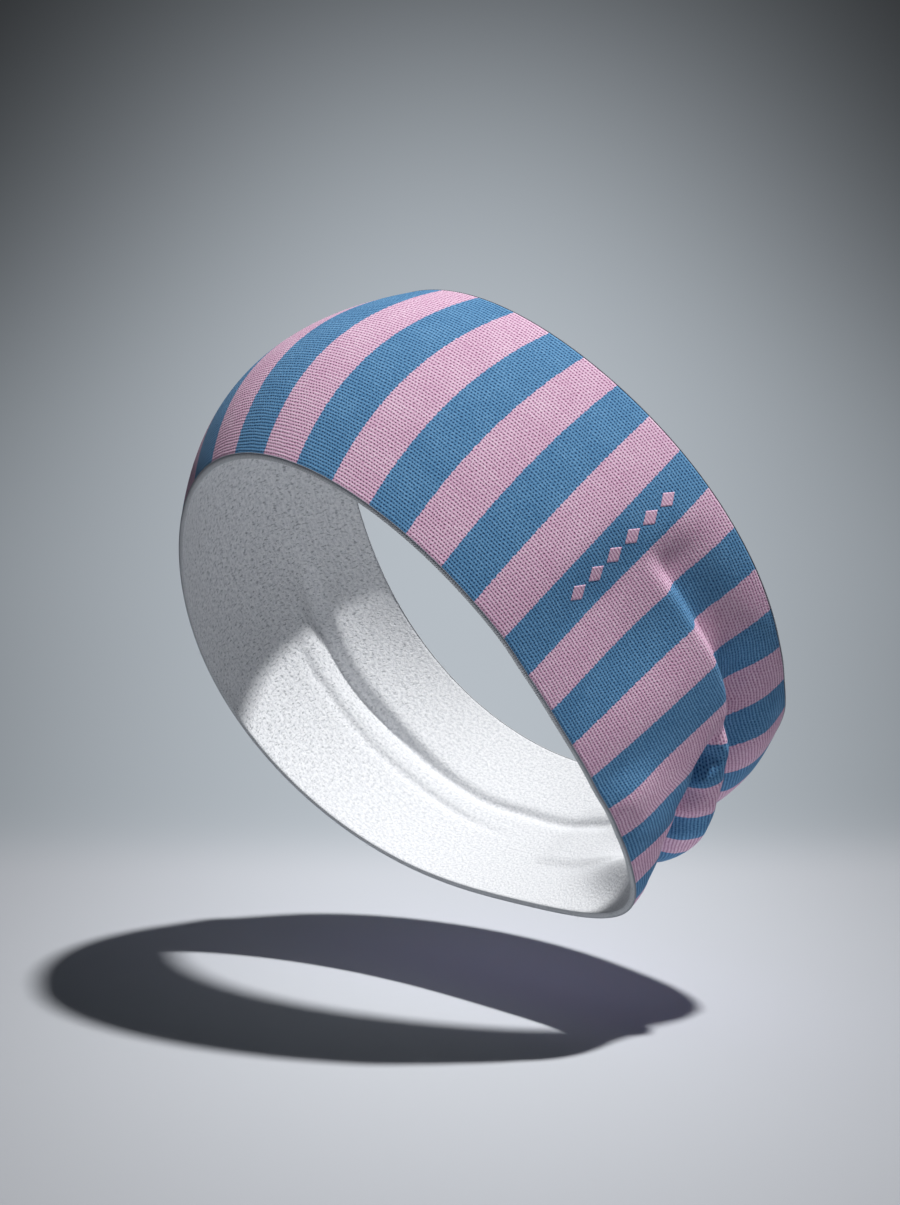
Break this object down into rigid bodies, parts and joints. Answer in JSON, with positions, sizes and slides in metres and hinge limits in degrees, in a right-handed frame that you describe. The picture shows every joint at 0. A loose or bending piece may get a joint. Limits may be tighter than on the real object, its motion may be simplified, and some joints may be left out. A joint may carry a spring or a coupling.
{
  "type": "sports headband",
  "caption": "Wide stretch headband: a striped knit tube with a soft lining, overlocked rims and a gathered nape, worn around the head for racket sports.",
  "frame": {"origin": "middle of the box round the band, on the plane of the brow rim that it stands on", "axes": "+Z from the brow rim to the crown rim, -Y towards the forehead, +Y towards the nape, +X towards the wearer's left"},
  "size_m": [0.1906, 0.199, 0.0754],
  "materials": {
    "knit": "matt ribbed stretch knit in blue and pink stripes",
    "lining": "soft short-pile lining, off-white with fine grey flecks",
    "edge_thread": "matt grey overlock thread",
    "elastic": "woven white elastic",
    "motif_print": "matt pink print"
  },
  "bodies": {
    "root": {"outer_shell": "knit", "inner_lining": "lining", "brow_edge_overlock": "edge_thread", "crown_edge_overlock": "edge_thread", "nape_elastic": "elastic", "elastic_tack_left": "edge_thread", "elastic_tack_right": "edge_thread", "nape_join_seam": "edge_thread", "motif_1": "motif_print", "motif_2": "motif_print", "motif_3": "motif_print", "motif_4": "motif_print", "motif_5": "motif_print", "motif_6": "motif_print"}
  },
  "joints": []
}
